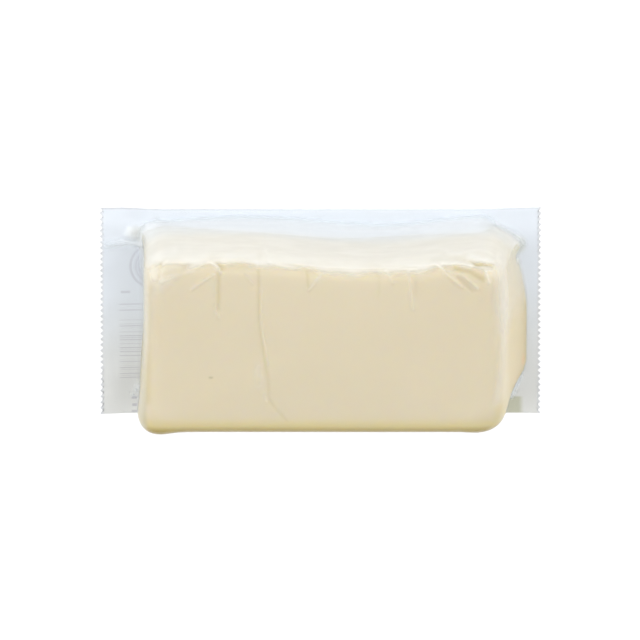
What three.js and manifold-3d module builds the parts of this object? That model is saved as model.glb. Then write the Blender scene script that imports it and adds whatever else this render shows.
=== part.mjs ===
// A one-pound block of mozzarella, vacuum packed: clear film is drawn tight over the cheese and
// sealed all round to a flat backing film, whose two short ends are cut with pinking teeth.
// Millimetres. The pack lies on its backing film: +X runs along the block, +Z is up, and +Y points
// to the long side where the spare film is. The origin is at the middle of the underside.
import * as THREE from "three";
import { mergeVertices } from "three/addons/utils/BufferGeometryUtils.js";
import Module from "manifold-3d";

// The flat of the pack.
const SHEET_LENGTH = 182; // over the tips of the pinking teeth
const SHEET_WIDTH = 93.6; // between the two straight edges
const TOOTH_COUNT = 36; // on each short end
const TOOTH_DEPTH = 1.4;
const BACKING_THICKNESS = 0.4;
const RIM_THICKNESS = 0.4;
const SEAL_GAP = 0.3; // left between the two films, which are sealed together

// The block under its film. Each side is where the face would run with square corners.
const BLOCK_HEIGHT = 35.6; // from the rim's underside to the top face
const LEFT_SIDE = -72.8;
const RIGHT_SIDE = 75.3;
const NEAR_SIDE = -42.0;
const FAR_SIDE = 39.5;
// The upright corners: far right, far left, near left and near right.
const CORNER_RADII = [9.5, 9.5, 9.5, 12.5];
const EDGE_RADIUS = 8; // between the top face and the sides
const FACE_CROWN = 0.5; // how far the middle of the top face stands proud
const FOOT_FILLET = 1.6; // where the film turns out into the rim

// How the soft block departs from a box.
const FAR_SIDE_HOLLOW = 3.6; // the far side is pulled in a little right of its middle,
const HOLLOW_MIDDLE = 17; // here,
const HOLLOW_REACH = 54; // and this far to each side
const LEFT_SIDE_SPREAD = 1.9; // the left end widens towards the near side
const RIGHT_END_BULGE = 10.7; // the right end slopes out by this much down to the backing film
const BULGE_NEAR_Y = -41; // the slope starts here,
const BULGE_FULL_NEAR_Y = -22; // is full from here
const BULGE_FULL_FAR_Y = 0; // to here,
const BULGE_FAR_Y = 56; // and would be gone here

// Spare film gathered into ears beside the two far corners: place, reach, spread and height.
const FILM_EARS = [
  { x: 81, y: 32.5, reach: 2.8, spread: 3.0, height: 13 },
  { x: -72.5, y: 37, reach: 4.2, spread: 3.4, height: 8 },
];

// How finely the curved surface is divided.
const CORNER_STEPS = 10;
const LONG_SIDE_STEPS = 26;
const SHORT_SIDE_STEPS = 16;
const FOOT_STEPS = 3;
const WALL_STEPS = 6;
const EDGE_STEPS = 9;
const CAP_SCALES = [0.78, 0.52, 0.26];

const RIM_BOTTOM = BACKING_THICKNESS + SEAL_GAP;
const HALF_LENGTH = (RIGHT_SIDE - LEFT_SIDE) / 2;
const HALF_WIDTH = (FAR_SIDE - NEAR_SIDE) / 2;

const { clamp, lerp, smoothstep } = THREE.MathUtils;

const wasm = await Module();
wasm.setup();

// The outline of both films: straight long edges, and a zigzag of pinking teeth at each end, with
// the tip of a tooth at every corner.
function pinkedOutline() {
  const pitch = SHEET_WIDTH / TOOTH_COUNT;
  const tip = SHEET_LENGTH / 2;
  const root = tip - TOOTH_DEPTH;
  const points = [];
  for (const end of [1, -1]) {
    for (let tooth = 0; tooth < TOOTH_COUNT; tooth++) {
      const y = end * (tooth * pitch - SHEET_WIDTH / 2);
      points.push(new THREE.Vector2(end * tip, y));
      points.push(new THREE.Vector2(end * root, y + (end * pitch) / 2));
    }
    points.push(new THREE.Vector2(end * tip, (end * SHEET_WIDTH) / 2));
  }
  return new THREE.Shape(points);
}

function pinkedSheet(thickness, bottom) {
  const sheet = new THREE.ExtrudeGeometry(pinkedOutline(), { depth: thickness, bevelEnabled: false });
  return sheet.translate(0, 0, bottom);
}

// The outline of a box of the block's length and width, centred, with round corners.
function roundedRectangle() {
  const onCorner = (corner, step) => {
    const radius = CORNER_RADII[corner % 4];
    const signX = corner % 4 === 0 || corner % 4 === 3 ? 1 : -1;
    const signY = corner % 4 < 2 ? 1 : -1;
    const angle = (corner + step / CORNER_STEPS) * (Math.PI / 2);
    return new THREE.Vector2(
      signX * (HALF_LENGTH - radius) + radius * Math.cos(angle),
      signY * (HALF_WIDTH - radius) + radius * Math.sin(angle),
    );
  };
  const points = [];
  for (let corner = 0; corner < 4; corner++) {
    for (let step = 0; step <= CORNER_STEPS; step++) points.push(onCorner(corner, step));
    // The straight side to the next corner: a long one after corners 0 and 2.
    const steps = corner % 2 === 0 ? LONG_SIDE_STEPS : SHORT_SIDE_STEPS;
    const from = onCorner(corner, CORNER_STEPS);
    const to = onCorner(corner + 1, 0);
    for (let step = 1; step < steps; step++) points.push(from.clone().lerp(to, step / steps));
  }
  return points;
}

function farSide(x) {
  const across = clamp((x - HOLLOW_MIDDLE) / HOLLOW_REACH, -1, 1);
  return FAR_SIDE - FAR_SIDE_HOLLOW * Math.cos((across * Math.PI) / 2) ** 2;
}

function leftSide(y) {
  return LEFT_SIDE - LEFT_SIDE_SPREAD * (1 - smoothstep(y, NEAR_SIDE * 0.8, -NEAR_SIDE * 0.2));
}

function rightSide(y, height) {
  const rising = smoothstep(y, BULGE_NEAR_Y, BULGE_FULL_NEAR_Y);
  const falling = 1 - smoothstep(y, BULGE_FULL_FAR_Y, BULGE_FAR_Y);
  const fading = 1 - clamp(height / BLOCK_HEIGHT, 0, 1);
  return RIGHT_SIDE + RIGHT_END_BULGE * rising * falling * fading;
}

// Moves a point of the plain rounded rectangle to where the soft block has it at that height.
function onBlock(point, height) {
  const y = lerp(NEAR_SIDE, farSide(point.x), (point.y + HALF_WIDTH) / (2 * HALF_WIDTH));
  const share = (point.x + HALF_LENGTH) / (2 * HALF_LENGTH);
  const placed = new THREE.Vector2(lerp(leftSide(y), rightSide(y, height), share), y);
  for (const ear of FILM_EARS) {
    const distance = Math.hypot(placed.x - ear.x, placed.y - ear.y);
    const nearness = Math.exp(-((distance / ear.spread) ** 2) / 2);
    const lowness = 1 - smoothstep(height, 0, ear.height);
    placed.addScaledVector(point.clone().normalize(), ear.reach * nearness * lowness);
  }
  return placed;
}

// The rings that the surface is made of, from the foot up: how far in each lies, and its height.
function blockLevels() {
  const levels = [{ inset: -FOOT_FILLET, height: 0 }];
  for (let step = 0; step <= FOOT_STEPS; step++) {
    const angle = (step / FOOT_STEPS) * (Math.PI / 2);
    levels.push({
      inset: -FOOT_FILLET * (1 - Math.sin(angle)),
      height: RIM_THICKNESS + FOOT_FILLET * (1 - Math.cos(angle)),
    });
  }
  const wallBottom = RIM_THICKNESS + FOOT_FILLET;
  const wallTop = BLOCK_HEIGHT - EDGE_RADIUS;
  for (let step = 1; step < WALL_STEPS; step++) {
    levels.push({ inset: 0, height: lerp(wallBottom, wallTop, step / WALL_STEPS) });
  }
  for (let step = 0; step <= EDGE_STEPS; step++) {
    const angle = (step / EDGE_STEPS) * (Math.PI / 2);
    levels.push({
      inset: EDGE_RADIUS * (1 - Math.cos(angle)),
      height: wallTop + EDGE_RADIUS * Math.sin(angle),
    });
  }
  return levels;
}

// The block and its film as one closed surface: stacked rings, a crowned top and a flat underside.
function blockGeometry() {
  const outline = roundedRectangle();
  const count = outline.length;
  const positions = [];
  const insetBy = (point, inset) => new THREE.Vector2(
    point.x * (1 - inset / HALF_LENGTH),
    point.y * (1 - inset / HALF_WIDTH),
  );
  for (const { inset, height } of blockLevels()) {
    for (const point of outline) {
      const placed = onBlock(insetBy(point, inset), height);
      positions.push(placed.x, placed.y, height);
    }
  }
  for (const scale of CAP_SCALES) {
    for (const point of outline) {
      const placed = onBlock(insetBy(point, EDGE_RADIUS).multiplyScalar(scale), BLOCK_HEIGHT);
      positions.push(placed.x, placed.y, BLOCK_HEIGHT + FACE_CROWN * (1 - scale ** 2));
    }
  }
  const rings = positions.length / 3 / count;
  const middle = onBlock(new THREE.Vector2(0, 0), BLOCK_HEIGHT);
  const underside = positions.length / 3;
  const crown = underside + 1;
  positions.push(middle.x, middle.y, 0, middle.x, middle.y, BLOCK_HEIGHT + FACE_CROWN);

  const faces = [];
  for (let at = 0; at < count; at++) {
    const next = (at + 1) % count;
    faces.push(underside, next, at);
    for (let ring = 0; ring < rings - 1; ring++) {
      const low = ring * count;
      const high = low + count;
      faces.push(low + at, low + next, high + next, low + at, high + next, high + at);
    }
    const last = (rings - 1) * count;
    faces.push(last + at, last + next, crown);
  }
  const geometry = new THREE.BufferGeometry();
  geometry.setAttribute("position", new THREE.Float32BufferAttribute(positions, 3));
  geometry.setIndex(faces);
  return geometry.translate(0, 0, RIM_BOTTOM);
}

function toSolid(geometry) {
  const bare = geometry.clone();
  bare.deleteAttribute("normal");
  bare.deleteAttribute("uv");
  const merged = mergeVertices(bare, 1e-4);
  return new wasm.Manifold(new wasm.Mesh({
    numProp: 3,
    vertProperties: new Float32Array(merged.attributes.position.array),
    triVerts: new Uint32Array(merged.index.array),
  }));
}

function toGeometry(solid) {
  const mesh = solid.getMesh();
  const geometry = new THREE.BufferGeometry();
  geometry.setAttribute("position", new THREE.BufferAttribute(mesh.vertProperties, 3));
  geometry.setIndex(new THREE.BufferAttribute(mesh.triVerts, 1));
  geometry.computeVertexNormals();
  return geometry;
}

// The clear film is one piece: the part drawn over the cheese and the flat rim around it.
function filmPocket() {
  const rim = toSolid(pinkedSheet(RIM_THICKNESS, RIM_BOTTOM));
  const material = new THREE.MeshStandardMaterial({ color: 0xe0d5b7, roughness: 0.35, metalness: 0 });
  const mesh = new THREE.Mesh(toGeometry(toSolid(blockGeometry()).add(rim)), material);
  mesh.name = "film_pocket";
  return mesh;
}

function backingFilm() {
  const material = new THREE.MeshStandardMaterial({ color: 0xe4e8eb, roughness: 0.4, metalness: 0 });
  const mesh = new THREE.Mesh(pinkedSheet(BACKING_THICKNESS, 0), material);
  mesh.name = "backing_film";
  return mesh;
}

const pack = new THREE.Group();
pack.name = "mozzarella_pack";
pack.add(filmPocket(), backingFilm());

export default pack;
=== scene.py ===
"""A vacuum-packed block of mozzarella: the cheese, its clear drawn film and a white backing film."""
import math

import bpy
import numpy as np
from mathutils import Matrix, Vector
from mathutils.bvhtree import BVHTree


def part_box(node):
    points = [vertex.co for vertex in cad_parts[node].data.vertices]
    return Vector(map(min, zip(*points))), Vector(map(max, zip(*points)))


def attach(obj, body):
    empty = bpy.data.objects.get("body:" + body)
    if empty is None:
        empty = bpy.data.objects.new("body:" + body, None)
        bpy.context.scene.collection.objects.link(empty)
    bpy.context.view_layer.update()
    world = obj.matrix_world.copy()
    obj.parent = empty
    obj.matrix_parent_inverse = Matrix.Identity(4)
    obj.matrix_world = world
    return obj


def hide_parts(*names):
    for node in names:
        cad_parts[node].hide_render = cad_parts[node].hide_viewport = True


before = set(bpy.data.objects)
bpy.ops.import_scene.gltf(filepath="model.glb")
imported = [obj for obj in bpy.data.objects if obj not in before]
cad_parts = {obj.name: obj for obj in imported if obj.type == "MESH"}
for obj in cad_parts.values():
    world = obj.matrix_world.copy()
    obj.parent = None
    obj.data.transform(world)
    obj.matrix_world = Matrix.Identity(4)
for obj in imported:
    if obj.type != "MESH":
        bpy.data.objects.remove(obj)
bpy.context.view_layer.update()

MM = 0.001
STRAIGHT = 0.01 * MM  # a length that counts as none
AT_PLACE = 0.1 * MM  # points this near a place count as being there

# ---------------------------------------------------------------- sizes, in metres
# From the frame: the sheet's outline and the block's height.
SHEET_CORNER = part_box("backing_film")[1]
HALF_LENGTH = SHEET_CORNER.x
HALF_WIDTH = SHEET_CORNER.y
BLOCK_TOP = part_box("film_pocket")[1].z

# The pinking teeth at the two short ends.
TOOTH_COUNT = 36
TOOTH_DEPTH = 1.4 * MM
STEPS_PER_TOOTH = 4
EDGE_STRIP = 1.8 * MM  # the outermost strip of both films, which holds the teeth

# Both films are divided along and across in two rounds of cuts, as one round has at most a hundred.
FILM_LENGTH_CUTS = (13, 9)
BACKING_LENGTH_CUTS = (9, 9)
WIDTH_CUTS = (11, 11)  # 12 x 12 parts, which is a part for each step of the teeth
SHORTEST_CUT = (10 * MM, 3 * MM)  # the shortest edges that each round divides

BACKING_THICKNESS = 0.22 * MM
FILM_THICKNESS = 0.12 * MM
RIM_LEVEL = 0.45 * MM  # the clear film's rim lies here, just above the backing film
RIM_TOP = 4 * MM  # above this height the film lies on the block, below it on the rim

# The cheese inside its film.
CHEESE_GAP = 0.3 * MM  # between the cheese and the film where the film is tight
CHEESE_FOOT = 1.9 * MM  # the tight film's shape is used above this height
CHEESE_LEVEL = BACKING_THICKNESS + 0.1 * MM  # the underside of the cheese
FOOT_STEPS = 5  # of the soft edge round its underside

# The loose box that the clear film is drawn from, a little outside the block.
BOX_LEFT, BOX_RIGHT = -75.5 * MM, 87 * MM
BOX_NEAR, BOX_FAR = -43.5 * MM, 41 * MM
BOX_LEAN = 9 * MM  # its right side leans in by this much from foot to top
BOX_SLACK = 0.5 * MM
FOOT_INSET = 1 * MM
RIM_LOOPS = 7
SIDE_LOOPS = 23
DIE_CUT = 2.9 * MM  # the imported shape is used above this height
DIE_DEPTH = 20 * MM  # and its sides are run down by this much from there

# How often each part of the drawn film is evened out.
RIM_ROUNDS, SIDE_ROUNDS, FOOT_ROUNDS = 150, 10, 3
FOOT_ZONE = 3 * MM

# How high the film bridges from the far side of the block to the rim: places along X, then heights,
# both in millimetres.
WEB_PLACES = (-74, -69, -64, -54, -43, -31, -8, 8, 24, 41, 53, 66, 70, 73, 76)
WEB_HEIGHTS = (3.0, 2.8, 2.3, 4.0, 5.8, 7.2, 7.8, 7.0, 5.2, 5.5, 7.0, 8.6, 6.6, 3.0, 0.1)
HOLLOW_SHARE = 0.6  # the share of that height over which the cheese falls away from the film

# The camera looks down on the pack, tilted from straight above towards the far side.
CAMERA_TILT = math.radians(25)
TO_CAMERA = np.array((0, math.sin(CAMERA_TILT), math.cos(CAMERA_TILT)))
CAMERA_DISTANCE = 12.0
PICTURE_WIDTH = 264 * MM
PICTURE_CENTRE = Vector((-0.2 * MM, -4.64 * MM, 0))


# ---------------------------------------------------------------- modelling tools
def make_only(piece):
    """Deselects everything else and makes the piece active."""
    if bpy.context.object and bpy.context.object.mode != "OBJECT":
        bpy.ops.object.mode_set(mode="OBJECT")
    bpy.ops.object.select_all(action="DESELECT")
    piece.select_set(True)
    bpy.context.view_layer.objects.active = piece


def places(piece):
    """The piece's vertices as an array of points."""
    found = np.empty(len(piece.data.vertices) * 3)
    piece.data.vertices.foreach_get("co", found)
    return found.reshape(-1, 3)


def normals(piece):
    """The normals at the piece's vertices."""
    found = np.empty(len(piece.data.vertices) * 3)
    piece.data.vertices.foreach_get("normal", found)
    return found.reshape(-1, 3)


def edit(piece, kind, chosen):
    """Opens the piece in edit mode with the chosen vertices, edges or faces selected."""
    make_only(piece)
    bpy.ops.object.mode_set(mode="EDIT")
    bpy.ops.mesh.select_mode(type=kind)
    bpy.ops.mesh.select_all(action="DESELECT")
    bpy.ops.object.mode_set(mode="OBJECT")
    parts = {"VERT": piece.data.vertices, "EDGE": piece.data.edges, "FACE": piece.data.polygons}[kind]
    parts.foreach_set("select", np.asarray(chosen, bool))
    bpy.ops.object.mode_set(mode="EDIT")


def done():
    """Leaves edit mode."""
    bpy.ops.object.mode_set(mode="OBJECT")


def face_at(piece, point):
    """Marks the one face whose middle is nearest to a point."""
    distances = np.array([(face.center - Vector(point)).length for face in piece.data.polygons])
    return distances == distances.min()


def cut_edges(piece, choose, cuts):
    """Divides the edges that choose picks by how far they span along X, Y and Z. As they lie side by
    side, loops then run across the faces between them."""
    ends = np.empty(len(piece.data.edges) * 2, int)
    piece.data.edges.foreach_get("vertices", ends)
    start, end = places(piece)[ends.reshape(-1, 2)].transpose(1, 0, 2)
    edit(piece, "EDGE", choose(np.abs(end - start)))
    bpy.ops.mesh.subdivide(number_cuts=cuts)
    done()


def apply_modifier(piece, kind, **settings):
    """Adds a modifier, sets it and applies it."""
    make_only(piece)
    bpy.ops.object.modifier_add(type=kind)
    modifier = piece.modifiers[-1]
    for name, value in settings.items():
        setattr(modifier, name, value)
    bpy.ops.object.modifier_apply(modifier=modifier.name)


def duplicate(piece, name):
    """A copy with its own mesh."""
    make_only(piece)
    bpy.ops.object.duplicate()
    copy = bpy.context.object
    copy.name = name
    return copy


def relax(piece, chosen, repeat):
    """Moves the chosen vertices to lie evenly between their neighbours."""
    edit(piece, "VERT", chosen)
    bpy.ops.mesh.vertices_smooth(factor=0.5, repeat=repeat)
    done()


def weigh(piece, group, weights):
    """Writes a vertex group, in small steps of weight."""
    steps_in_all = 200
    found = piece.vertex_groups.get(group) or piece.vertex_groups.new(name=group)
    steps = np.round(np.clip(weights, 0, 1) * steps_in_all).astype(int)
    for step in np.unique(steps):
        found.add(np.nonzero(steps == step)[0].tolist(), step / steps_in_all, "REPLACE")
    return group


def weights_of(piece, group):
    """The weights of a vertex group, 0 where a vertex isn't in it."""
    index = piece.vertex_groups[group].index
    found = np.zeros(len(piece.data.vertices))
    for vertex in piece.data.vertices:
        for share in vertex.groups:
            if share.group == index:
                found[vertex.index] = share.weight
    return found


def raise_surface(piece, weights, height, direction="NORMAL", texture=None):
    """Displaces the piece by height times the weights, and times a texture if one is given."""
    settings = {"texture": texture, "texture_coords": "LOCAL"} if texture else {}
    apply_modifier(piece, "DISPLACE", strength=height, mid_level=0, direction=direction,
                   vertex_group=weigh(piece, "raised", weights), **settings)


def clouds(name, size):
    """A soft procedural noise for displacing surfaces."""
    texture = bpy.data.textures.new(name, type="CLOUDS")
    texture.noise_scale = size
    texture.noise_depth = 2
    return texture


def write_attribute(piece, name, values):
    """Stores a number at each vertex, for a material to read."""
    stored = piece.data.attributes.new(name, "FLOAT", "POINT")
    stored.data.foreach_set("value", values)


def finish_smooth(piece):
    """Shades the whole piece smooth."""
    make_only(piece)
    bpy.ops.object.shade_smooth()


def at_place(points, place):
    """Marks the points at a place."""
    return np.linalg.norm(points - np.array(place), axis=1) < AT_PLACE


def ramp(values, low, high):
    """Rises smoothly from 0 at low to 1 at high."""
    share = np.clip((values - low) / (high - low), 0, 1)
    return share * share * (3 - 2 * share)


def as_seen(points):
    """Where points fall on the plane that the camera faces: to the right, and up."""
    up = points[:, 1] * math.cos(CAMERA_TILT) - points[:, 2] * math.sin(CAMERA_TILT)
    return np.column_stack((points[:, 0], up))


def from_line(points, line):
    """How far each point of a plane is from a bent line."""
    distances = np.full(len(points), np.inf)
    corners = np.array(line, float) * MM
    for start, end in zip(corners, corners[1:]):
        along = end - start
        share = np.clip((points - start) @ along / (along @ along), 0, 1)
        reached = np.linalg.norm(points - start - share[:, None] * along, axis=1)
        distances = np.minimum(distances, reached)
    return distances


# ---------------------------------------------------------------- what both films share
def pinked_plane(name, level):
    """A flat sheet of the pack's outline, with the strip that will hold the teeth set off round it."""
    bpy.ops.object.select_all(action="DESELECT")
    bpy.ops.mesh.primitive_plane_add(size=2, location=(0, 0, level))
    sheet = bpy.context.object
    sheet.name = name
    sheet.scale = (HALF_LENGTH, HALF_WIDTH, 1)
    bpy.ops.object.transform_apply(location=True, rotation=True, scale=True)
    edit(sheet, "FACE", [True])
    bpy.ops.mesh.inset(thickness=EDGE_STRIP, depth=0)
    done()
    return sheet


def cut_teeth(sheet):
    """Draws the ends of a sheet in between the tips of its pinking teeth."""
    points = places(sheet)
    pitch = 2 * HALF_WIDTH / TOOTH_COUNT
    phase = np.round((points[:, 1] + HALF_WIDTH) / pitch * STEPS_PER_TOOTH) / STEPS_PER_TOOTH % 1
    from_tip = 1 - np.abs(phase - 0.5) * 2
    halfway, root = 0.5, 1.0
    for side in (-1, 1):
        at_end = side * points[:, 0] > HALF_LENGTH - STRAIGHT
        for share in (halfway, root):
            edit(sheet, "VERT", at_end & np.isclose(from_tip, share))
            bpy.ops.transform.translate(value=(-side * share * TOOTH_DEPTH, 0, 0))
            done()


def divide_across(sheet, length_cuts):
    """Divides a sheet along and across, in two rounds each."""
    for axis, rounds in ((0, length_cuts), (1, WIDTH_CUTS)):
        others = [other for other in range(3) if other != axis]
        for cuts, least in zip(rounds, SHORTEST_CUT):
            cut_edges(sheet, lambda span: (span[:, axis] > least)
                      & (span[:, others].max(axis=1) < STRAIGHT), cuts)


# ---------------------------------------------------------------- the clear film
def pocket_die():
    """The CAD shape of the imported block, with its rim cut off and its sides run straight down."""
    die = duplicate(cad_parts["film_pocket"], "pocket_die")
    die.parent = None
    edit(die, "VERT", np.ones(len(die.data.vertices), bool))
    bpy.ops.mesh.remove_doubles(threshold=STRAIGHT)
    bpy.ops.mesh.bisect(plane_co=(0, 0, DIE_CUT), plane_no=(0, 0, 1), clear_inner=True)
    done()
    edit(die, "VERT", places(die)[:, 2] < DIE_CUT + STRAIGHT)
    bpy.ops.mesh.extrude_edges_move(TRANSFORM_OT_translate={"value": (0, 0, -DIE_DEPTH)})
    done()
    return die


def loose_pocket():
    """The film before it is drawn tight: a box with a rim, divided finely."""
    film = pinked_plane("clear_film", RIM_LEVEL)
    edit(film, "FACE", face_at(film, (0, 0, RIM_LEVEL)))
    bpy.ops.mesh.inset(thickness=FOOT_INSET, depth=0)
    done()
    foot_x = HALF_LENGTH - EDGE_STRIP - FOOT_INSET
    foot_y = HALF_WIDTH - EDGE_STRIP - FOOT_INSET
    for from_x, to_x in ((-foot_x, BOX_LEFT), (foot_x, BOX_RIGHT)):
        for from_y, to_y in ((-foot_y, BOX_NEAR), (foot_y, BOX_FAR)):
            edit(film, "VERT", at_place(places(film), (from_x, from_y, RIM_LEVEL)))
            bpy.ops.transform.translate(value=(to_x - from_x, to_y - from_y, 0))
            done()
    edit(film, "FACE", face_at(film, (0, 0, RIM_LEVEL)))
    bpy.ops.mesh.extrude_region_move(
        TRANSFORM_OT_translate={"value": (0, 0, BLOCK_TOP - RIM_LEVEL + BOX_SLACK)})
    done()
    points = places(film)
    edit(film, "VERT", (points[:, 2] > BLOCK_TOP / 2) & (points[:, 0] > 0))
    bpy.ops.transform.translate(value=(-BOX_LEAN, 0, 0))
    done()

    # Loops round the rim and up the sides, then along and across the whole pack.
    cut_edges(film, lambda span: (span[:, :2].min(axis=1) > STRAIGHT)
              & (np.abs(span[:, 0] - span[:, 1]) > STRAIGHT) & (span[:, 2] < STRAIGHT), RIM_LOOPS)
    cut_edges(film, lambda span: span[:, 2] > BLOCK_TOP / 2, SIDE_LOOPS)
    divide_across(film, FILM_LENGTH_CUTS)
    return film


def draw_tight(film):
    """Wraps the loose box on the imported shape, and evens out the rim round it."""
    points = places(film)
    inside = (points[:, 0] > BOX_LEFT - STRAIGHT) & (points[:, 0] < BOX_RIGHT + STRAIGHT) \
        & (points[:, 1] > BOX_NEAR - STRAIGHT) & (points[:, 1] < BOX_FAR + STRAIGHT)
    edge = np.maximum(np.abs(points[:, 0]) - HALF_LENGTH, np.abs(points[:, 1]) - HALF_WIDTH)
    strip = edge > -EDGE_STRIP - STRAIGHT
    height = points[:, 2] - RIM_LEVEL
    die = pocket_die()
    apply_modifier(film, "SHRINKWRAP", target=die, wrap_method="NEAREST_SURFACEPOINT",
                   vertex_group=weigh(film, "drawn", inside.astype(float)))
    bpy.data.objects.remove(die)
    relax(film, ~inside & ~strip, RIM_ROUNDS)
    relax(film, inside & (height > DIE_CUT), SIDE_ROUNDS)
    drawn_height = places(film)[:, 2] - RIM_LEVEL
    foot = inside & (height < FOOT_ZONE)
    near_foot = ~strip & (np.abs(drawn_height) < FOOT_ZONE) & (foot | ~inside)
    relax(film, near_foot, FOOT_ROUNDS)


# Creases of the film over the block, as seen by the camera: bent lines in millimetres, to the right of the
# frame's origin and up from it, then the height of each, below 0 for a groove, its width, and how milky the
# film is along it, partly as a painted highlight; below 0 it is painted shade on the cheese instead.
FILM_CREASES = [
    # The long crease from the far side to the near one.
    ([(-25.2, 22.0), (-25.4, 16.4), (-25.4, 4.9), (-25.3, -5.0)], -0.10, 0.7, -0.28),
    ([(-25.3, -5.0), (-24.1, -13.3), (-22.6, -23.4), (-21.3, -31.4), (-21.7, -35.5),
      (-19.6, -39.5), (-14.0, -45.8)], -0.08, 0.7, -0.18),
    ([(-24.4, 8.0), (-24.3, -6.0), (-23.0, -14.0), (-21.6, -23.0)], 0.10, 0.6, 0.03),
    ([(-23.0, 30.5), (-23.9, 24.5)], 0.10, 0.7, 0),
    ([(-25.2, -24.0), (-25.2, -30.0)], 0, 1.6, 0.05),
    ([(-22.6, -35.0), (-21.6, -37.5)], 0.10, 0.9, 0.05),
    # The short crease left of it, with a tuck at its upper end.
    ([(-41.8, 15.0), (-41.8, 8.0), (-42.1, 0.0)], -0.10, 0.9, -0.30),
    ([(-43.2, 14.0), (-43.2, 6.0)], 0.10, 0.6, 0.02),
    ([(-43.0, 2.0), (-41.6, -3.0)], 0.08, 1.0, 0.04),
    ([(-45.7, 19.2), (-42.9, 17.4), (-41.2, 15.0)], 0.16, 0.7, 0.08),
    ([(-42.0, 18.9), (-40.5, 17.0)], -0.15, 1.0, -0.45),
    # Diagonals at the upper left corner.
    ([(-65.4, 11.5), (-60.0, 13.6), (-54.2, 15.6), (-50.0, 18.0)], 0.14, 1.1, 0.05),
    ([(-63.5, 14.6), (-57.5, 16.2), (-54.5, 18.2)], -0.10, 1.0, -0.20),
    ([(-52.8, 8.3), (-48.5, 11.5), (-44.0, 14.2)], 0.14, 0.7, 0.06),
    ([(-68.2, 20.8), (-65.5, 22.6), (-62.0, 23.4), (-60.0, 24.2)], 0.05, 1.6, 0.14),
    ([(-58.5, 23.6), (-54.0, 24.4)], 0, 1.3, 0.05),
    ([(-61.4, 23.0), (-65.2, 18.9), (-66.6, 11.4)], -0.12, 0.9, -0.25),
    ([(-69.5, 20.0), (-68.0, 13.0)], 0.04, 1.8, 0.05),
    # Along the far edge, left of its middle.
    ([(-57.0, 22.0), (-52.0, 21.0), (-47.5, 21.6)], 0.05, 1.2, 0.05),
    ([(-39.3, 21.6), (-34.0, 22.6), (-26.8, 22.4)], 0.03, 1.5, 0.10),
    ([(-37.0, 18.6), (-32.0, 18.4), (-27.5, 18.0)], -0.10, 1.2, -0.20),
    ([(-22.8, 22.4), (-15.0, 21.4), (-4.0, 20.2), (8.0, 19.2)], 0, 1.7, 0.04),
    ([(-22.5, 24.2), (-21.0, 19.5)], 0.14, 0.8, 0.06),
    ([(-31.1, 14.4), (-27.4, 10.6)], 0.08, 0.6, 0.03),
    ([(-16.5, 18.9), (-9.5, 17.6)], -0.12, 1.0, -0.20),
    ([(-0.2, 14.0), (-4.6, 8.0)], 0.10, 0.7, 0.05),
    ([(-5.6, 15.5), (-5.0, 9.5)], -0.12, 0.6, -0.30),
    # Right of its middle.
    ([(24.2, 17.0), (23.8, 5.0)], -0.06, 0.5, -0.15),
    ([(27.0, 15.6), (29.9, 10.6)], 0.10, 0.6, 0.04),
    ([(36.3, 15.2), (37.0, 8.0), (38.0, 0.0)], 0.08, 0.7, 0.04),
    ([(38.8, 15.0), (39.4, 5.5)], -0.06, 0.7, -0.12),
    ([(27.5, 17.6), (39.5, 17.2)], -0.08, 0.7, -0.20),
    # The fan of wrinkles at the upper right corner.
    ([(45.5, 20.2), (51.0, 21.2), (58.4, 20.7), (64.5, 18.0), (70.0, 17.8)], -0.28, 1.1, -0.70),
    ([(50.5, 18.6), (56.0, 18.8), (61.5, 17.6)], 0.24, 0.9, 0.14),
    ([(46.8, 18.9), (52.5, 14.0), (58.0, 9.4)], 0.22, 0.8, 0.05),
    ([(55.5, 17.0), (61.7, 15.3), (66.6, 12.3)], -0.24, 1.0, -0.50),
    ([(61.7, 21.9), (66.0, 20.8), (70.5, 19.6)], 0.22, 1.2, 0.18),
    ([(57.9, 23.7), (64.0, 24.6), (68.5, 24.0), (72.2, 21.6)], 0.10, 0.8, 0.06),
    ([(52.0, 23.4), (57.0, 23.2)], 0.10, 0.9, 0.08),
    ([(58.0, 14.6), (64.8, 8.6)], 0.22, 0.8, 0.05),
    ([(56.0, 13.2), (62.5, 7.6)], -0.15, 0.7, -0.20),
    ([(67.6, 15.5), (69.0, 11.0)], 0.25, 0.7, 0.10),
    # Down the two short sides.
    ([(-70.2, 9.0), (-70.6, -10.0), (-71.2, -38.0)], 0, 1.3, -0.30),
    ([(73.0, 22.0), (75.2, 10.0), (75.4, -8.0), (74.2, -24.0), (72.6, -38.0)], 0.06, 1.5, 0.10),
]


def crease_profiles(seen):
    """For each crease, how strongly it is felt at each point that the camera sees, then its height and its
    milkiness, which is partly painted highlight and, below 0, painted shade."""
    furthest = 3.0
    for line, height, width, milk_and_painted_light in FILM_CREASES:
        distance = from_line(seen, line) / (width * MM)
        yield np.where(distance < furthest, np.exp(-(distance ** 2)), 0), height, milk_and_painted_light


def facing_camera(piece):
    """How fully each vertex faces the camera, and lies on the block rather than on the rim."""
    return ramp(normals(piece) @ TO_CAMERA, 0.05, 0.3) * ramp(places(piece)[:, 2], 3 * MM, 6 * MM)


def divide_creases(film):
    """Divides the film's faces once more along the narrow creases, where they face the camera."""
    centres = np.array([face.center for face in film.data.polygons])
    outward = np.array([face.normal for face in film.data.polygons])
    seen = as_seen(centres)
    narrow = 1.0
    beside = np.full(len(centres), np.inf)
    for line, height, width, milk_and_painted_light in FILM_CREASES:
        if width < narrow:
            beside = np.minimum(beside, from_line(seen, line) - 2 * width * MM)
    edit(film, "FACE", (beside < 0) & (outward @ TO_CAMERA > 0.1) & (centres[:, 2] > RIM_TOP))
    bpy.ops.mesh.subdivide(number_cuts=1)
    done()


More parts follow.
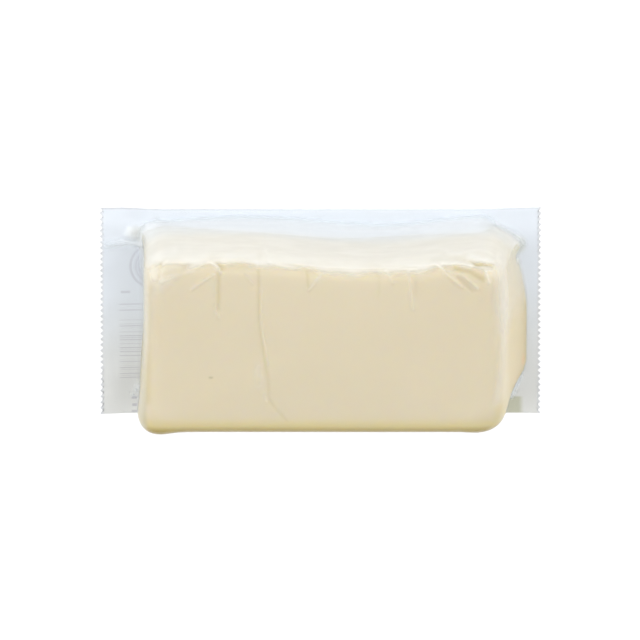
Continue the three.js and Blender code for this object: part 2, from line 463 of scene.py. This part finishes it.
def press_creases(film):
    """Raises the creases and sinks the grooves of the film, where it faces the camera."""
    points = places(film)
    seen = as_seen(points)
    up, down = np.zeros(len(seen)), np.zeros(len(seen))
    for profile, height, milk_and_painted_light in crease_profiles(seen):
        if height > 0:
            up = np.maximum(up, profile * height)
        else:
            down = np.maximum(down, -profile * height)
    shown = facing_camera(film)
    raise_surface(film, up * shown, MM)
    raise_surface(film, down * shown, -MM)


# Outside the block's foot both films wave a little. The sides of the foot, and how far out from them
# the waves reach their full height, in millimetres.
FOOT_LEFT, FOOT_RIGHT, FOOT_FAR = -76, 86, 41
WAVES_GROW_OVER = 12
WAVES_BELOW = 2 * MM  # the rim lies below this height
WAVE_HEIGHT = 1.1 * MM
WAVE_LENGTH = 22 * MM
# The far edge is pulled up and in by the block: places along X in millimetres, and shares of the pull,
# which grows from the first place along Y to the second.
FAR_EDGE_FROM, FAR_EDGE_TO = 40, 46.8
FAR_EDGE_PLACES = (-91, -83, -77, -71, -65, 68, 73, 79, 85, 91)
FAR_EDGE_SHARES = (0, 0.05, 0.4, 0.77, 1, 1, 0.6, 0.3, 0.15, 0)
FAR_EDGE_LIFT = 1.0 * MM
FAR_EDGE_DRAW = 0.4 * MM


def ripple(sheet):
    """Lets the spare film round the block rise and fall a little, and draws its far edge in."""
    points = places(sheet)
    x, y = points[:, 0] / MM, points[:, 1] / MM
    outside = np.maximum.reduce([x - FOOT_RIGHT, FOOT_LEFT - x, y - FOOT_FAR, np.zeros(len(x))])
    on_rim = points[:, 2] < WAVES_BELOW
    raise_surface(sheet, ramp(outside, 0, WAVES_GROW_OVER) * on_rim, WAVE_HEIGHT, direction="Z",
                  texture=clouds("spare_film", WAVE_LENGTH))
    pulled = np.interp(x, FAR_EDGE_PLACES, FAR_EDGE_SHARES) * ramp(y, FAR_EDGE_FROM, FAR_EDGE_TO)
    raise_surface(sheet, pulled, FAR_EDGE_LIFT, direction="Z")
    raise_surface(sheet, pulled, -FAR_EDGE_DRAW, direction="Y")


# Pleats and glints of the spare film beside the corners: lines in millimetres on the rim, how high
# each stands at its start and at its end, its width, and how milky the film is along it.
RIM_PLEATS = [
    ([(-74.0, 30.6), (-79.0, 31.6), (-88.0, 30.2)], 2.4, 0.4, 1.6, 0.16),
    ([(-74.5, 33.0), (-71.3, 36.8), (-67.0, 40.5)], 1.8, 0.5, 1.4, 0.16),
    ([(-78.2, 33.8), (-76.4, 37.0)], 3.0, 2.4, 2.2, 0.05),
    ([(81.6, -29.6), (78.2, -38.4)], 0, 0, 1.0, 0.92),
    ([(-75.0, -34.0), (-77.2, -38.8)], 0, 0, 1.0, 0.12),
    ([(72.5, 38.0), (79.0, 34.5), (83.5, 30.5)], 0, 0, 1.3, 0.15),
]
TALLEST_PLEAT = 3


def raise_pleats(film):
    """Raises the pleats, and returns how milky each vertex is with them."""
    points = places(film)
    flat = points[:, :2]
    raised, milky = np.zeros(len(points)), np.zeros(len(points))
    for line, at_start, at_end, width, milk_and_painted_light in RIM_PLEATS:
        start, end = np.array(line[0]) * MM, np.array(line[-1]) * MM
        share = np.clip((flat - start) @ (end - start) / ((end - start) @ (end - start)), 0, 1)
        profile = np.exp(-(from_line(flat, line) / (width * MM)) ** 2)
        raised = np.maximum(raised, profile * (at_start + (at_end - at_start) * share))
        milky = np.maximum(milky, profile * milk_and_painted_light)
    low = points[:, 2] < RIM_TOP
    raise_surface(film, raised / TALLEST_PLEAT * low, TALLEST_PLEAT * MM, direction="Z")
    return milky * low


# Corners of the film drawn out or tucked in: middle of each and its reach in millimetres, how far it
# moves, and which way.
CORNER_PULLS = [
    ((83.0, 30.0, 2.0), 3.4, 1.8, "X"),  # the ear at the far right corner
    ((81.8, 25.4, 3.0), 1.7, -1.3, "X"),  # the tuck beside it
    ((71.5, -37.5, 26.0), 8.5, 1.9, "NORMAL"),
    ((-69.0, -38.0, 27.0), 8.0, 2.2, "NORMAL"),
]


def shape_corners(film):
    """Draws the ear at the far right corner out, with a tuck beside it, and fills the near corners."""
    for middle, reach, out, direction in CORNER_PULLS:
        distance = np.linalg.norm(places(film) / MM - np.array(middle), axis=1)
        raise_surface(film, np.exp(-(distance / reach) ** 2), out * MM, direction=direction)


def model_clear_film():
    """The film drawn over the block, still without its thickness."""
    film = loose_pocket()
    draw_tight(film)
    shape_corners(film)
    cut_teeth(film)
    divide_creases(film)
    press_creases(film)
    return film


def gaps_between(film, cheese):
    """How far each vertex of the film stands off the cheese."""
    tree = BVHTree.FromPolygons([vertex.co for vertex in cheese.data.vertices],
                                [face.vertices for face in cheese.data.polygons])
    return np.array([tree.find_nearest(vertex.co)[3] for vertex in film.data.vertices])


# How milky the film looks, as a share from 0 to 1, in each part of the pack. On the far side, the two ends,
# the far left corner and along the creases this white is partly painted sheen, standing in for reflections.
WEB_HAZE = 0.72
FAR_SIDE_HAZE_AND_SHEEN = 0.30
BRIDGE_HAZE = 0.3
END_HAZE_AND_SHEEN = 0.09  # over the far half of the two short ends
CORNER_HAZE_AND_SHEEN = 0.07
CREASE_HAZE_AND_SHEEN = 0.7

# On the far side it grows between these slopes of the film, along a line that wanders and dips, so it is
# partly a painted reflection set by which way the film faces.
FAR_HAZE_AND_SHEEN_START, FAR_HAZE_AND_SHEEN_FULL = 0.46, 0.98
FAR_HAZE_AND_SHEEN_DIP = 0.14
DIP_MIDDLE, DIP_REACH = 22, 18


def haze_in_web(x, height, gaps):
    """The milkiest part is the web that bridges from the far side to the rim. It fades out above its
    height, where the film leaves the foot for the rim, and at the block's two ends."""
    web = np.interp(x, WEB_PLACES, WEB_HEIGHTS)
    low = 1 - ramp(height, 0.4 * web, 1.8 * web)
    on_foot = 1 - ramp(gaps / MM - HOLLOW_SHARE * web, -1.8, 1.4)
    ends = ramp(x, -77, -70) * (1 - ramp(x, 62, 76))
    return WEB_HAZE * low * on_foot * ends


def far_side_haze_and_sheen(x, outward):
    """The far side's milkiness, partly a painted reflection set by which way the film faces, starts partway
    round the edge of the top face.
    """
    wander = 0.06 * np.sin(x / 5.0) + 0.04 * np.sin(x / 2.1 + 1.0)
    dip = FAR_HAZE_AND_SHEEN_DIP * np.exp(-((x - DIP_MIDDLE) / DIP_REACH) ** 2)
    slope = outward[:, 1] + 0.5 * np.abs(outward[:, 0])
    haze_and_painted_sheen = FAR_SIDE_HAZE_AND_SHEEN * ramp(slope + wander, FAR_HAZE_AND_SHEEN_START - dip, FAR_HAZE_AND_SHEEN_FULL)
    return haze_and_painted_sheen * (1 - 0.35 * ramp(x, 66, 74))


def end_haze_and_sheen(x, y, height, outward):
    """Fainter milkiness on the two short ends, partly painted sheen set by which way the film faces, and
    painted sheen over the far left corner.
    """
    corner = ramp(0.9 * y - x, 84, 92) * ramp(height, 20, 30)
    left = ramp(-outward[:, 0], 0.15, 0.95) * ramp(y, -15, 15)
    right = ramp(outward[:, 0], 0.2, 0.7) * ramp(y, 0, 15)
    return np.maximum.reduce([CORNER_HAZE_AND_SHEEN * corner, END_HAZE_AND_SHEEN * left, END_HAZE_AND_SHEEN * right])


def haze_and_sheen_of(film, cheese):
    """How milky each vertex of the film looks: where it stands off the cheese, with painted sheen on the far
    side and the ends, and along its creases, partly as painted highlight.
    """
    points, outward, gaps = places(film), normals(film), gaps_between(film, cheese)
    x, y, height = points[:, 0] / MM, points[:, 1] / MM, (points[:, 2] - RIM_LEVEL) / MM
    far_side = ramp(y, 15, 25)
    bridging = BRIDGE_HAZE * ramp(gaps, 1.5 * CHEESE_GAP, 4 * MM) * (1 - ramp(x, 55, 70)) * (1 - far_side)
    on_block = np.maximum.reduce([
        bridging, far_side_haze_and_sheen(x, outward) * far_side, end_haze_and_sheen(x, y, height, outward)])
    haze_and_painted_sheen = np.maximum(on_block * ramp(height, 0.1, 0.8), haze_in_web(x, height, gaps) * far_side)
    along_creases = np.zeros(len(points))
    for profile, rise, milk_and_painted_light in crease_profiles(as_seen(points)):
        along_creases = np.maximum(along_creases, profile * max(milk_and_painted_light, 0))
    return haze_and_painted_sheen + CREASE_HAZE_AND_SHEEN * along_creases * facing_camera(film)


def finish_clear_film(film, cheese):
    """Notes how milky the film looks, partly as painted sheen, adds its pleats and waves, and gives it its
    thickness.
    """
    haze_and_painted_sheen = haze_and_sheen_of(film, cheese)
    haze_and_painted_sheen = np.maximum(haze_and_painted_sheen, raise_pleats(film))
    ripple(film)
    # Stored with the painted sheen of the far side, the ends and the creases.
    write_attribute(film, "haze_and_painted_sheen", np.clip(haze_and_painted_sheen, 0, 1))
    apply_modifier(film, "SOLIDIFY", thickness=FILM_THICKNESS, offset=0)
    finish_smooth(film)


# ---------------------------------------------------------------- the cheese
def round_off_far_foot(cheese):
    """Draws in the lower part of the far side, more in the middle of the block, where the film bridges."""
    points = places(cheese)
    x, z = points[:, 0] / MM, points[:, 2] / MM
    reach = HOLLOW_SHARE * np.interp(x, WEB_PLACES, WEB_HEIGHTS)
    drop = np.clip((reach - z) / reach, 0, 1)
    inward = reach * (1 - np.sqrt(1 - drop ** 2))
    far_side = ramp(points[:, 1], 10 * MM, 25 * MM)
    most = 12
    raise_surface(cheese, inward / most * far_side, -most * MM, direction="Y")


def open_edge(piece):
    """Marks the vertices on the open edge of a surface."""
    edges = np.empty(len(piece.data.edges) * 2, int)
    piece.data.edges.foreach_get("vertices", edges)
    sides = np.zeros(len(piece.data.edges), int)
    corners = np.empty(len(piece.data.loops), int)
    piece.data.loops.foreach_get("edge_index", corners)
    np.add.at(sides, corners, 1)
    found = np.zeros(len(piece.data.vertices), bool)
    found[edges.reshape(-1, 2)[sides == 1]] = True
    return found


def close_below(cheese):
    """Runs the open foot of the cheese down and in by a quarter round, and closes the underside."""
    size = Vector(cheese.dimensions)
    middle = Vector(cheese.bound_box[0]).lerp(Vector(cheese.bound_box[6]), 0.5)
    depth = places(cheese)[:, 2].min() - CHEESE_LEVEL
    edit(cheese, "VERT", open_edge(cheese))
    for step in range(FOOT_STEPS):
        turn = [math.radians(90) * (step + more) / FOOT_STEPS for more in (0, 1)]
        inward = 2 * depth * (math.cos(turn[0]) - math.cos(turn[1]))
        down = -depth * (math.sin(turn[1]) - math.sin(turn[0]))
        bpy.ops.mesh.extrude_edges_move(TRANSFORM_OT_translate={"value": (0, 0, down)})
        bpy.ops.transform.resize(value=(1 - inward / size.x, 1 - inward / size.y, 1),
                                 center_override=middle)
    bpy.ops.mesh.edge_face_add()
    done()


def mark_painted_shade(cheese):
    """Notes where shade is painted into the cheese's colour: where its far edge turns down, and under
    grooves.
    """
    far_slope = normals(cheese)[:, 1]
    # Painted shade where the far edge turns down, set by which way the cheese faces.
    turning = ramp(far_slope, 0.25, 0.6) * (1 - ramp(far_slope, 0.75, 1.0))
    most = 0.4
    write_attribute(cheese, "far_edge_painted_shade", most * turning)
    # Painted shade along the grooves, where a crease's milkiness is below 0.
    painted_groove_shade = np.zeros(len(far_slope))
    for profile, rise, milk_and_painted_light in crease_profiles(as_seen(places(cheese))):
        painted_groove_shade = np.maximum(painted_groove_shade, profile * max(-milk_and_painted_light, 0))
    write_attribute(cheese, "painted_groove_shade", painted_groove_shade * facing_camera(cheese))


def model_cheese(film):
    """The block itself: the tight film's own shape, a little smaller, closed below with a soft edge."""
    cheese = duplicate(film, "cheese_block")
    edit(cheese, "VERT", (weights_of(cheese, "drawn") < 0.5) | (places(cheese)[:, 2] < CHEESE_FOOT))
    bpy.ops.mesh.delete(type="VERT")
    done()
    edit(cheese, "VERT", np.ones(len(cheese.data.vertices), bool))
    bpy.ops.transform.shrink_fatten(value=-CHEESE_GAP)
    done()
    round_off_far_foot(cheese)
    mark_painted_shade(cheese)
    close_below(cheese)
    finish_smooth(cheese)
    return cheese


# ---------------------------------------------------------------- the backing film
def model_backing_film():
    """The flat backing film, which waves with the clear film's rim."""
    backing = pinked_plane("white_backing", BACKING_THICKNESS / 2)
    divide_across(backing, BACKING_LENGTH_CUTS)
    cut_teeth(backing)
    ripple(backing)
    apply_modifier(backing, "SOLIDIFY", thickness=BACKING_THICKNESS, offset=0)
    return backing


# ---------------------------------------------------------------- materials
def new_material(name):
    """An empty material and its nodes."""
    material = bpy.data.materials.new(name)
    material.use_nodes = True
    material.node_tree.nodes.clear()
    return material, material.node_tree


def add_node(tree, kind, inputs=None, **settings):
    """A node with its settings, and its inputs by name or number: a value, or another node's output."""
    node = tree.nodes.new(kind)
    for name, value in settings.items():
        setattr(node, name, value)
    for key, value in (inputs or {}).items():
        if isinstance(value, bpy.types.NodeSocket):
            tree.links.new(value, node.inputs[key])
        else:
            node.inputs[key].default_value = value
    return node


def show(tree, surface):
    """Makes a shader the material's surface."""
    add_node(tree, "ShaderNodeOutputMaterial", {"Surface": surface.outputs[0]})


def object_place(tree):
    """The place on the piece, as a vector, and its parts, which are named X, Y and Z."""
    where = add_node(tree, "ShaderNodeTexCoord").outputs["Object"]
    return where, add_node(tree, "ShaderNodeSeparateXYZ", {"Vector": where}).outputs


def attribute(tree, name):
    """A number that is stored at the vertices."""
    return add_node(tree, "ShaderNodeAttribute", attribute_name=name).outputs["Fac"]


def calculate(tree, operation, *values, clamp=False):
    """A sum with one, two or three numbers."""
    inputs = dict(enumerate(values))
    return add_node(tree, "ShaderNodeMath", inputs, operation=operation, use_clamp=clamp).outputs[0]


def multiply(tree, first, second):
    """The product of two numbers."""
    return calculate(tree, "MULTIPLY", first, second)


def distance_from(tree, value, middle):
    """How far a number is from a middle one, either way."""
    return calculate(tree, "ABSOLUTE", calculate(tree, "SUBTRACT", value, middle))


def combine_vectors(tree, operation, first, second):
    """A sum with two vectors, whose answer is a vector."""
    return add_node(tree, "ShaderNodeVectorMath", {0: first, 1: second}, operation=operation).outputs[0]


def length_of(tree, vector):
    """How long a vector is."""
    return add_node(tree, "ShaderNodeVectorMath", {0: vector}, operation="LENGTH").outputs["Value"]


def fade(tree, value, start, end, low=0.0, high=1.0):
    """Goes smoothly from low, where a value is at start, to high at end."""
    return add_node(tree, "ShaderNodeMapRange", {
        "Value": value, "From Min": start, "From Max": end, "To Min": low, "To Max": high,
    }, interpolation_type="SMOOTHSTEP").outputs["Result"]


def mix_colours(tree, share, first, second):
    """Blends two colours, each given as three numbers or as another node's output."""
    node = add_node(tree, "ShaderNodeMix", {"Factor": share}, data_type="RGBA")
    for name, colour in (("A", first), ("B", second)):
        if isinstance(colour, bpy.types.NodeSocket):
            tree.links.new(colour, node.inputs[name])
        else:
            node.inputs[name].default_value = (*colour, 1)
    return node.outputs["Result"]


def mix_in(tree, colour, tints):
    """Mixes several colours one after another into the first, each by its own share."""
    for share, tint in tints:
        colour = mix_colours(tree, share, colour, tint)
    return colour


def mix_shaders(tree, share, first, second):
    """The first shader where the share is 0, the second where it is 1."""
    return add_node(tree, "ShaderNodeMixShader", {0: share, 1: first.outputs[0], 2: second.outputs[0]})


def spot(tree, where, centre, radii, inner=0.4):
    """1 in the middle of an ellipsoid given in millimetres, falling to 0 at its surface."""
    offset = combine_vectors(tree, "SUBTRACT", where, Vector(centre) * MM)
    scaled = combine_vectors(tree, "DIVIDE", offset, Vector(radii) * MM)
    return fade(tree, length_of(tree, scaled), 1.0, inner)


def band(tree, value, middle, half_width, soft=0.3):
    """1 within half_width millimetres of the middle, falling to 0 over the soft edge."""
    off = distance_from(tree, value, middle * MM)
    return fade(tree, off, (half_width + soft) * MM, half_width * MM)


# Colours of the cheese, first the two that its face drifts between.
FACE_COLOUR, PALER_FACE_COLOUR = (0.70, 0.618, 0.437), (0.72, 0.638, 0.46)
# Painted shade: the near side darker and yellower, its upper edge darkest, as if in shade.
NEAR_SLOPE_SHADE_COLOUR = (0.71, 0.61, 0.31)
NEAR_EDGE_SHADE_COLOUR = (0.42, 0.30, 0.03)
# Painted shade where the far edge of the top turns down.
FAR_EDGE_SHADE_COLOUR = (0.60, 0.54, 0.385)
# Painted shade in the grooves of the film's creases.
GROOVE_SHADE_COLOUR = (0.48, 0.39, 0.13)
# Painted shade on the two short ends, darker and more orange at the right.
LEFT_END_SHADE_COLOUR = (0.54, 0.50, 0.36)
RIGHT_END_SHADE_COLOUR = (0.66, 0.55, 0.31)

# Patches of painted shade at the right end and the near right corner, a painted shadow in the tuck beside
# the ear, the ear's olive tint and small specks: the middle and radii of each in millimetres, its colour and
# its strength.
CHEESE_SPOTS_AND_SHADE = [
    # Painted shade on the right end.
    ((78.2, 15.4, 23.4), (4.0, 9.0, 7.0), (0.72, 0.58, 0.34), 0.3),
    ((83.7, -19.3, 7.6), (3.5, 3.5, 3.5), (0.74, 0.52, 0.26), 0.8),
    ((82.0, 29.5, 3.0), (4.5, 5.0, 6.0), (0.58, 0.56, 0.36), 0.4),
    # A painted shadow in the tuck beside the ear.
    ((81.2, 25.6, 4.0), (1.0, 1.0, 2.0), (0.20, 0.18, 0.10), 0.7),
    # Painted shade at the near right corner.
    ((75.0, -34.0, 30.0), (6.0, 12.0, 12.0), (0.66, 0.575, 0.29), 0.45),
    ((76.5, -40.5, 29.0), (9.0, 6.5, 7.0), (0.40, 0.30, 0.05), 0.85),
    ((-45.1, -13.9, 36.5), (1.4, 0.8, 3.0), (0.30, 0.27, 0.12), 0.4),
    ((-36.5, -41.6, 28.4), (0.9, 1.0, 0.7), (0.25, 0.20, 0.10), 0.7),
    ((-33.0, -41.6, 28.0), (1.6, 1.0, 0.5), (0.30, 0.24, 0.12), 0.6),
    ((-22.0, -41.6, 28.2), (1.1, 1.0, 0.6), (0.25, 0.20, 0.10), 0.6),
]


def cheese_material():
    """Moist cheese, with painted shade along its near side and edges, along its grooves, at its two ends and
    in patches.
    """
    material, tree = new_material("moist_cheese")
    where, part = object_place(tree)
    x, y = part["X"], part["Y"]
    cloud = add_node(tree, "ShaderNodeTexNoise", {"Vector": where, "Scale": 45.0, "Detail": 3.0})
    face_colour = mix_colours(tree, cloud.outputs["Fac"], FACE_COLOUR, PALER_FACE_COLOUR)
    # Painted shade on the near edge, strongest high up where it turns down from the top face.
    near_edge_shade = multiply(tree, fade(tree, y, -36 * MM, -40 * MM),
                         fade(tree, part["Z"], 18 * MM, 32 * MM, 0.3, 1.0))
    # Painted shade on the right end, weaker towards its far side.
    right_end_shade = multiply(tree, fade(tree, x, 75.5 * MM, 79 * MM), fade(tree, y, 26 * MM, 12 * MM, 0.35, 1.0))
    tints = [
        (fade(tree, y, -31 * MM, -37 * MM), NEAR_SLOPE_SHADE_COLOUR),
        (near_edge_shade, NEAR_EDGE_SHADE_COLOUR),
        (attribute(tree, "far_edge_painted_shade"), FAR_EDGE_SHADE_COLOUR),
        (attribute(tree, "painted_groove_shade"), GROOVE_SHADE_COLOUR),
        (fade(tree, x, -70.5 * MM, -73 * MM, 0.0, 0.8), LEFT_END_SHADE_COLOUR),
        (right_end_shade, RIGHT_END_SHADE_COLOUR),
    ]
    for centre, radii, shade, strength in CHEESE_SPOTS_AND_SHADE:
        tints.append((multiply(tree, spot(tree, where, centre, radii), strength), shade))
    show(tree, add_node(tree, "ShaderNodeBsdfPrincipled", {
        "Base Color": mix_in(tree, face_colour, tints), "Roughness": 0.45,
        "Subsurface Weight": 0.5, "Subsurface Radius": (1.0, 0.7, 0.25), "Subsurface Scale": 2 * MM,
    }))
    return material


# The milkiness of the clear film, low down on the sides and, greyer, high up: its colours, the heights
# between which it changes, and how much light it lets through, rather than throws back, at each.
LOW_MILK, HIGH_MILK = (0.955, 0.98, 1.0), (0.96, 0.965, 0.95)
MILK_HEIGHTS = (7 * MM, 15 * MM)
MILK_LETS_THROUGH = (0.41, 0.5)
STREAK_SCALE = (50.0, 150.0, 150.0)  # the streaks run along the pack


def clear_film_material():
    """Clear film: see-through, glossy, and milky where it stands off the cheese, with painted sheen in its
    milky white on the far side, the ends and along creases.
    """
    material, tree = new_material("clear_film")
    where, part = object_place(tree)
    stretched = combine_vectors(tree, "MULTIPLY", where, STREAK_SCALE)
    streaks = add_node(tree, "ShaderNodeTexNoise", {"Vector": stretched, "Scale": 1.0, "Detail": 3.0})
    # The milky white, partly painted sheen, as noted at the vertices.
    haze_and_painted_sheen = multiply(tree, attribute(tree, "haze_and_painted_sheen"),
                    fade(tree, streaks.outputs["Fac"], 0.35, 0.65, 0.93, 1.07))
    # A little of it hides a lot, so the clear share falls with the third power.
    clear_share = calculate(tree, "POWER", calculate(tree, "SUBTRACT", 0.995, haze_and_painted_sheen, clamp=True), 3.0)
    milk_colour = mix_colours(tree, fade(tree, part["Z"], *MILK_HEIGHTS), LOW_MILK, HIGH_MILK)
    throws_back = add_node(tree, "ShaderNodeBsdfDiffuse", {"Color": milk_colour})
    lets_through = add_node(tree, "ShaderNodeBsdfTranslucent", {"Color": milk_colour})
    milk_and_painted_light = mix_shaders(tree, fade(tree, part["Z"], *MILK_HEIGHTS, *MILK_LETS_THROUGH),
                       throws_back, lets_through)
    clear = add_node(tree, "ShaderNodeBsdfTransparent", {"Color": (0.99, 0.99, 0.99, 1)})
    body = mix_shaders(tree, clear_share, milk_and_painted_light, clear)
    facing = add_node(tree, "ShaderNodeLayerWeight", {"Blend": 0.5}).outputs["Facing"]
    gloss = add_node(tree, "ShaderNodeBsdfGlossy", {"Roughness": 0.24})
    show(tree, mix_shaders(tree, fade(tree, facing, 0.25, 0.65, 0.035, 0.095), body, gloss))
    return material


# The backing film's white, from its far side to its near one: painted light, brighter and bluer at the far
# side, and greyer in painted shade towards the near side.
FAR_LIT_WHITE, NEAR_SHADED_WHITE = (0.83, 0.885, 0.955), (0.81, 0.82, 0.80)

# Its faint print, in millimetres. A field of stripes: how far apart they are, where the first one
# starts, and the middle and half size of the field along X and along Y.
PRINT_COLOUR = (0.36, 0.34, 0.42)
PRINT_STRENGTH = 0.36
STRIPE_PITCH = 0.9
STRIPE_START = 50
FIELD_X, FIELD_Y = (-77.7, 5.0), (-14.4, 17.5)

# A faint disc with rings on it: its centre, and the radius and half width of each ring.
RING_CENTRE = (-68.3, 20.0, 0)
RINGS = ((10.0, 0.4), (7.8, 0.2), (6.6, 0.15), (5.6, 0.15))
RING_STRENGTH = 0.75
DISC_RADIUS = 8.0
DISC_STRENGTH = 0.4

# Small printed blocks: middle and half size, X then Y, and how dark.
SMALL_BLOCKS = [
    (-80.4, 8.3, 1.8, 0.4, 0.8),
    (-76.9, -39.8, 0.9, 0.4, 1.5), (-76.8, -43.1, 0.8, 0.5, 1.3), (-76.9, -46.0, 0.9, 0.4, 1.3),
]

# Soft tints beside the two far corners: middle, radii and colour.
CORNER_TINTS = [
    ((-75.5, 35.0, 0), (6.5, 4.5, 9.0), (0.77, 0.76, 0.66)),
    ((81.7, 30.0, 0), (4.2, 5.5, 9.0), (0.66, 0.67, 0.50)),
]

# A plain patch at the near right corner: its middle, half size and soft edge along X and along Y.
PATCH_X, PATCH_Y = (79.0, 2.5, 3.0), (-43.0, 3.2, 1.0)
PATCH_COLOUR = (0.45, 0.46, 0.25)
PATCH_STRENGTH = 0.6

# The sheet looks darker along its far edge, left of the middle, and along its teeth.
FAR_LINE_COLOUR = (0.70, 0.72, 0.77)
TEETH_COLOUR = (0.74, 0.76, 0.79)


def stripes(tree, x, y):
    """Thin stripes, one for each step along Y, as dark as a random number says."""
    steps = calculate(tree, "DIVIDE", calculate(tree, "SUBTRACT", y, STRIPE_START * MM), STRIPE_PITCH * MM)
    weight = add_node(tree, "ShaderNodeTexWhiteNoise", {"W": calculate(tree, "FLOOR", steps)},
                      noise_dimensions="1D").outputs["Value"]
    off_middle = distance_from(tree, calculate(tree, "FRACT", steps), 0.5)
    lines = multiply(tree, fade(tree, off_middle, 0.34, 0.12), fade(tree, weight, 0.2, 0.75))
    return multiply(tree, lines, multiply(tree, band(tree, x, *FIELD_X), band(tree, y, *FIELD_Y)))


def backing_print(tree, where, x, y):
    """How dark the print is: the stripes, the rings on their disc, and the small blocks."""
    from_centre = length_of(tree, combine_vectors(tree, "SUBTRACT", where, Vector(RING_CENTRE) * MM))
    marks = [multiply(tree, band(tree, from_centre, 0.0, DISC_RADIUS, 1.5), DISC_STRENGTH)]
    for radius, half_width in RINGS:
        marks.append(multiply(tree, band(tree, from_centre, radius, half_width), RING_STRENGTH))
    for middle_x, middle_y, half_x, half_y, strength in SMALL_BLOCKS:
        block = multiply(tree, band(tree, x, middle_x, half_x), band(tree, y, middle_y, half_y))
        marks.append(multiply(tree, block, strength))
    ink = stripes(tree, x, y)
    for mark in marks:
        ink = calculate(tree, "MAXIMUM", ink, mark)
    return multiply(tree, ink, PRINT_STRENGTH)


def backing_material():
    """White film with a faint print: stripes, rings on a disc, small blocks and a plain patch, under painted
    light that fades from its far side to its near one.
    """
    material, tree = new_material("white_film")
    where, part = object_place(tree)
    x, y = part["X"], part["Y"]
    # Painted light: brighter and bluer at the far side, greyer in shade at the near side.
    white = mix_colours(tree, fade(tree, y, 15 * MM, -42 * MM), FAR_LIT_WHITE, NEAR_SHADED_WHITE)
    patch = multiply(tree, band(tree, x, *PATCH_X), band(tree, y, *PATCH_Y))
    tints = [
        (backing_print(tree, where, x, y), PRINT_COLOUR),
        (multiply(tree, patch, PATCH_STRENGTH), PATCH_COLOUR),
    ]
    for centre, radii, shade in CORNER_TINTS:
        tints.append((multiply(tree, spot(tree, where, centre, radii, 0.2), 0.5), shade))
    far_line = multiply(tree, fade(tree, y, 45.6 * MM, 46.3 * MM), fade(tree, x, 0.0, -40 * MM, 0.0, 0.7))
    tints.append((far_line, FAR_LINE_COLOUR))
    tints.append((fade(tree, distance_from(tree, x, 0.0), 88.8 * MM, 90.4 * MM), TEETH_COLOUR))
    show(tree, add_node(tree, "ShaderNodeBsdfPrincipled", {
        "Base Color": mix_in(tree, white, tints), "Roughness": 0.35}))
    return material


def floor_material():
    """A pale floor that glows a little, and more towards the far left."""
    material, tree = new_material("pale_floor")
    part = object_place(tree)[1]
    beyond = calculate(tree, "MULTIPLY_ADD", part["X"], -0.5, part["Y"])
    diffuse = add_node(tree, "ShaderNodeBsdfDiffuse", {"Color": (0.12, 0.12, 0.12, 1)})
    glow = add_node(tree, "ShaderNodeEmission", {
        "Color": (1, 1, 1, 1), "Strength": fade(tree, beyond, 0.0, 0.4, 1.0, 1.17)})
    show(tree, add_node(tree, "ShaderNodeAddShader", {0: diffuse.outputs[0], 1: glow.outputs[0]}))
    return material


# ---------------------------------------------------------------- stage
FLOOR_SIZE = 8.0
WORLD_STRENGTH = 0.48

# Soft lamps, all turned to the pack: the place and size of each, and its brightness, where that of
# white paper is 1.
SOFTBOXES = {
    "overhead": ((0, 0.2, 1.8), (3.0, 2.2), 0.46),
    "far_low": ((0.2, 2.4, 0.45), (4.0, 0.9), 2.0),
    "left_low": ((-1.6, 0.2, 0.5), (1.2, 0.8), 1.95),
    "left_high": ((-1.3, 0.3, 1.4), (1.2, 1.0), 1.9),
    "right_low": ((1.6, 0.2, 0.5), (1.2, 0.8), 1.5),
    "right_high": ((1.2, 0.4, 1.4), (1.2, 1.0), 1.6),
}
LAMP_AIM = (0, 0, 0.02)
LAMP_ENERGY = 4  # of a square metre of lamp at brightness 1


def place_camera():
    """Looks down on the pack from the side where its spare film is, far off, through a long lens."""
    bpy.ops.object.camera_add(location=PICTURE_CENTRE + Vector(TO_CAMERA) * CAMERA_DISTANCE)
    camera = bpy.context.object
    # The camera's own up points to the far side, so it is turned about X alone.
    camera.rotation_euler = (-CAMERA_TILT, 0, 0)
    camera.data.sensor_width = 36
    camera.data.lens = camera.data.sensor_width * CAMERA_DISTANCE / PICTURE_WIDTH
    camera.data.clip_end = 100
    bpy.context.scene.camera = camera


def place_floor():
    """A floor at the level of the underside of the pack."""
    bpy.ops.mesh.primitive_plane_add(size=FLOOR_SIZE, location=(0, 0, 0))
    floor = bpy.context.object
    floor.name = "floor"
    floor.data.materials.append(floor_material())


def add_softbox(name, place, size, brightness):
    """A soft rectangular lamp that only lights, and isn't seen itself."""
    bpy.ops.object.light_add(type="AREA", location=place)
    lamp = bpy.context.object
    lamp.name = name
    lamp.rotation_euler = (Vector(place) - Vector(LAMP_AIM)).to_track_quat("Z", "Y").to_euler()
    lamp.data.shape = "RECTANGLE"
    lamp.data.size, lamp.data.size_y = size
    lamp.data.energy = brightness * size[0] * size[1] * LAMP_ENERGY
    lamp.visible_camera = False


def light_scene():
    """A white studio round the pack, with the soft lamps in it."""
    world = bpy.data.worlds.new("studio")
    world.use_nodes = True
    background = world.node_tree.nodes["Background"].inputs
    background["Color"].default_value = (1, 1, 1, 1)
    background["Strength"].default_value = WORLD_STRENGTH
    bpy.context.scene.world = world
    for name, (place, size, brightness) in SOFTBOXES.items():
        add_softbox(name, place, size, brightness)


def main():
    """Sets the stage, models the three pieces, and puts each in the place of its node."""
    place_camera()
    place_floor()
    light_scene()
    film = model_clear_film()
    cheese = model_cheese(film)
    finish_clear_film(film, cheese)
    backing = model_backing_film()
    for piece, node, slot, material in (
        (film, "film_pocket", "clear_film", clear_film_material()),
        (cheese, "film_pocket", "cheese", cheese_material()),
        (backing, "backing_film", "white_film", backing_material()),
    ):
        piece.data.materials.clear()
        piece.data.materials.append(material)
        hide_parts(node)
        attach(piece, "root")


main()
bpy.context.scene.view_settings.view_transform = "Standard"
